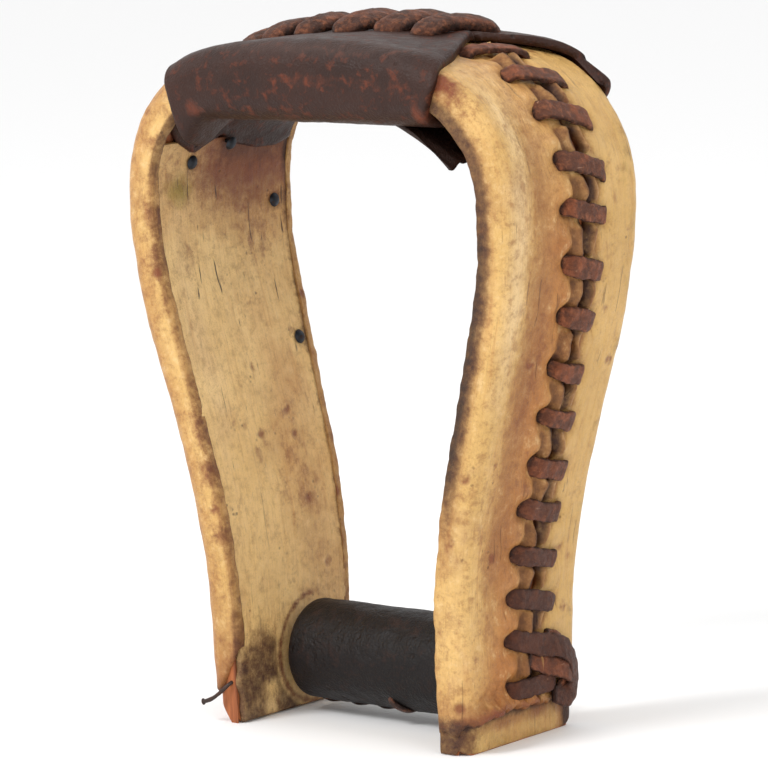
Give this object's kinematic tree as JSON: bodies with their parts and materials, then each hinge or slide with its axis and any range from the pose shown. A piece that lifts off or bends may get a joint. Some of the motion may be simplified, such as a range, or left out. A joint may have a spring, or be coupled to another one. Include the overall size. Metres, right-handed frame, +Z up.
{
  "type": "western saddle stirrup",
  "caption": "Rawhide-covered bentwood saddle stirrup with laced sides, a leather-covered tread and a free-turning roller on a bolt for the stirrup strap.",
  "frame": {"origin": "on the resting plane, midway between the ends of the two legs", "axes": "+Z up from the leg ends to the tread, X across the stirrup along the roller's axis, -Y is the front"},
  "size_m": [0.1538, 0.076, 0.2243],
  "materials": {
    "bow_wood": "bare steam-bent hardwood, orange brown and weathered",
    "roller_wood": "plain turned wood",
    "rawhide": "dried straw-coloured rawhide, stained and worn",
    "liner_rawhide": "dried straw-coloured rawhide with dark flecks and cracks",
    "tread_leather": "oiled dark brown leather, worn red-brown",
    "tread_lace_leather": "thick dark brown lace, rubbed along its crown",
    "lace_leather": "flat brown thong with dark edges",
    "roller_leather": "smooth near-black leather",
    "tack_iron": "blued domed tack heads",
    "nail_iron": "rusted wire",
    "bolt_steel": "plain steel, dulled"
  },
  "bodies": {
    "stirrup": {"wood_bow": "bow_wood", "tread_block": "bow_wood", "tread_block_nails": "nail_iron", "front_hide_cover": "rawhide", "back_hide_cover": "rawhide", "left_liner": "liner_rawhide", "right_liner": "liner_rawhide", "left_liner_tacks": "tack_iron", "right_liner_tacks": "tack_iron", "left_side_lace": "lace_leather", "right_side_lace": "lace_leather", "left_lace_knot": "lace_leather", "right_lace_knot": "lace_leather", "tread_cover": "tread_leather", "tread_lace": "tread_lace_leather", "tread_cover_tack": "tack_iron", "bolt": "bolt_steel", "bolt_nut": "bolt_steel", "left_washer": "bolt_steel", "right_washer": "bolt_steel", "bent_nail": "nail_iron"},
    "roller": {"roller_core": "roller_wood", "roller_sleeve": "roller_leather", "roller_lace": "lace_leather"}
  },
  "joints": [
    {"name": "roller_spin", "type": "hinge", "parent": "stirrup", "child": "roller", "pos_m": [0, 0.006, 0.0195], "axis": [1, 0, 0], "continuous": true}
  ]
}
